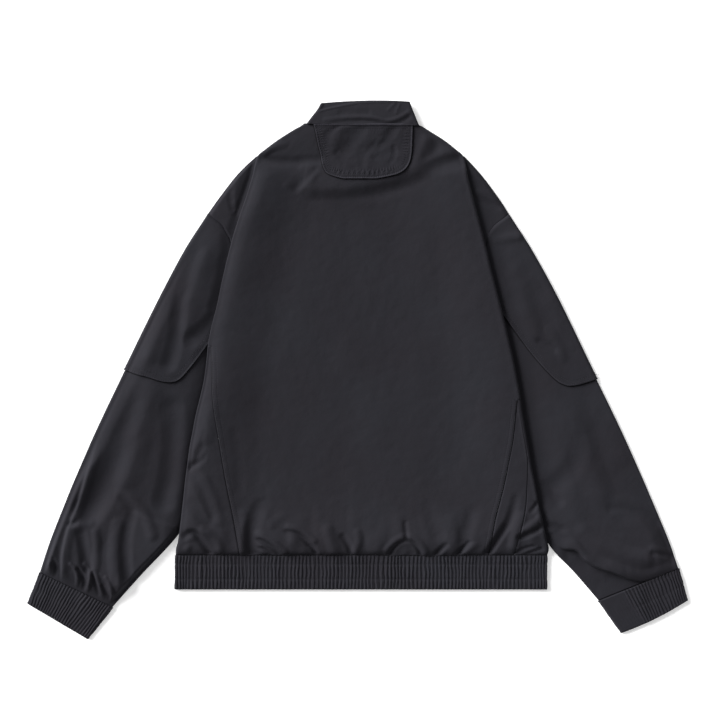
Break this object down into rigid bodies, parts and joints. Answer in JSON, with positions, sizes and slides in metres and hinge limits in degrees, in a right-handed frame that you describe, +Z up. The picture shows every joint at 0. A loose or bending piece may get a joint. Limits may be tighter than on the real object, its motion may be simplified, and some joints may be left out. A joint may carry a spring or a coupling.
{
  "type": "utility jacket",
  "caption": "Loose zip-front jacket laid flat with its back up: stand collar, neck flap, pleated armholes, sleeve overlays, ribbed cuffs and a ribbed elastic hem.",
  "frame": {"origin": "middle of the jacket's footprint on the surface it lies on", "axes": "+Z up out of the jacket's back, +Y towards the collar, +X towards the wearer's right sleeve"},
  "size_m": [0.969, 0.7901, 0.0154],
  "materials": {
    "shell_cloth": "matt near-black light nylon with a faint sheen",
    "rib": "matt gathered elastic cloth",
    "zip_tape": "matt woven tape",
    "zip_metal": "satin black"
  },
  "bodies": {
    "jacket": {"back": "shell_cloth", "neck_flap": "shell_cloth", "side_left": "shell_cloth", "side_right": "shell_cloth", "front_left": "shell_cloth", "front_right": "shell_cloth", "sleeve_left": "shell_cloth", "sleeve_patch_left": "shell_cloth", "cuff_left": "rib", "zip_tape_left": "zip_tape", "sleeve_right": "shell_cloth", "sleeve_patch_right": "shell_cloth", "cuff_right": "rib", "zip_tape_right": "zip_tape", "hem_band": "rib", "collar": "shell_cloth", "zip_chain": "zip_metal", "zip_slider": "zip_metal"},
    "pull": {"zip_pull": "zip_metal"}
  },
  "joints": [
    {"name": "zip_pull_hinge", "type": "hinge", "parent": "jacket", "child": "pull", "pos_m": [0.00988, 0.378, 0.002], "axis": [1, 0, 0], "range_deg": [0, 165]}
  ]
}
